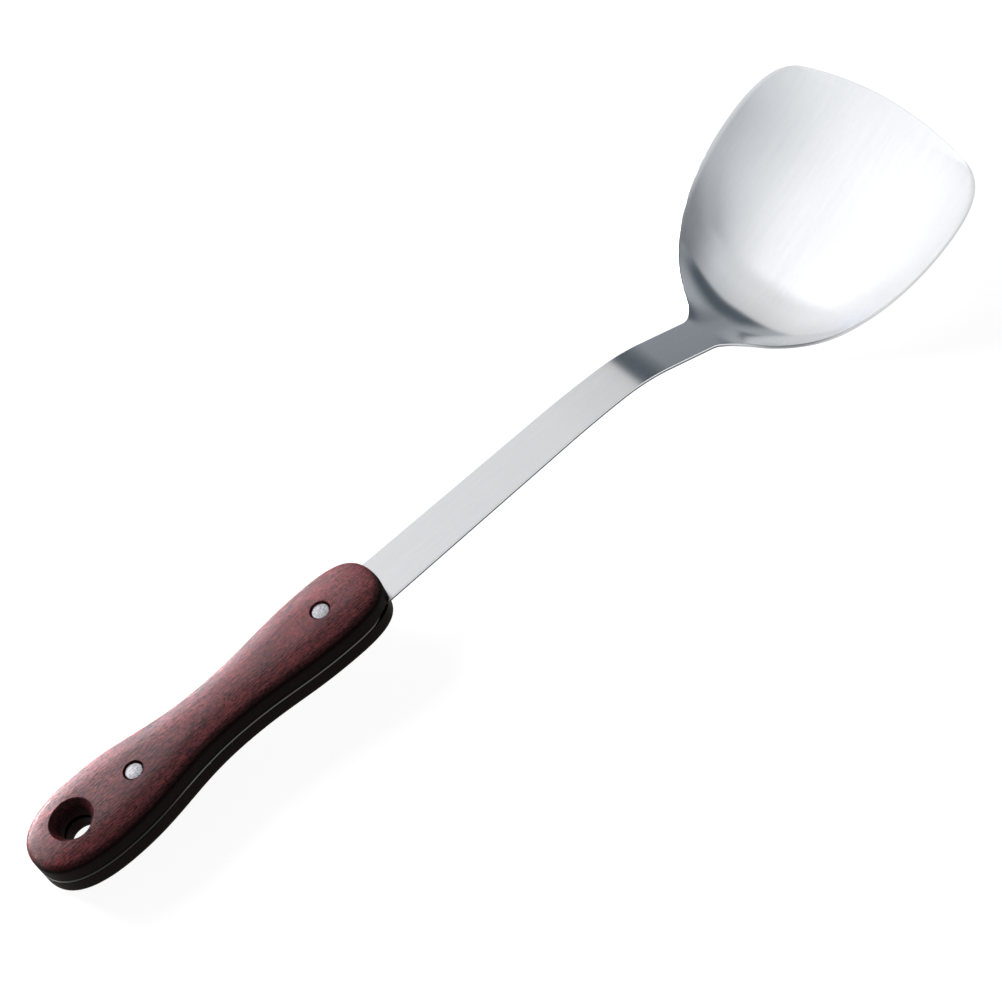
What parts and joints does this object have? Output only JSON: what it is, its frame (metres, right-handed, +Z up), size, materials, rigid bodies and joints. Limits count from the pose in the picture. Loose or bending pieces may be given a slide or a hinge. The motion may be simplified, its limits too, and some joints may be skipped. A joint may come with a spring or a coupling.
{
  "type": "cooking spatula",
  "caption": "Long-handled turner with a wide dished steel blade, a cranked neck and a flat tapered shank, held between riveted wooden scales with a hanging hole at the tail.",
  "frame": {"origin": "on the table, under the middle of the overall length and width, with the spatula lying on its tail and on the blade's heel", "axes": "+X runs from the handle's tail to the blade's edge, +Y is to the user's left and +Z is up out of the dish"},
  "size_m": [0.3764, 0.1048, 0.0386],
  "materials": {
    "satin_steel": "satin stainless sheet, fine-brushed shank and smooth pressed blade",
    "rosewood": "dark reddish-brown hardwood with fine grain along the handle, oiled",
    "rivet_metal": "bright domed rivet heads"
  },
  "bodies": {
    "root": {"blade_and_tang": "satin_steel", "upper_scale": "rosewood", "lower_scale": "rosewood", "front_rivet_post": "rivet_metal", "front_rivet_socket": "rivet_metal", "rear_rivet_post": "rivet_metal", "rear_rivet_socket": "rivet_metal"}
  },
  "joints": []
}
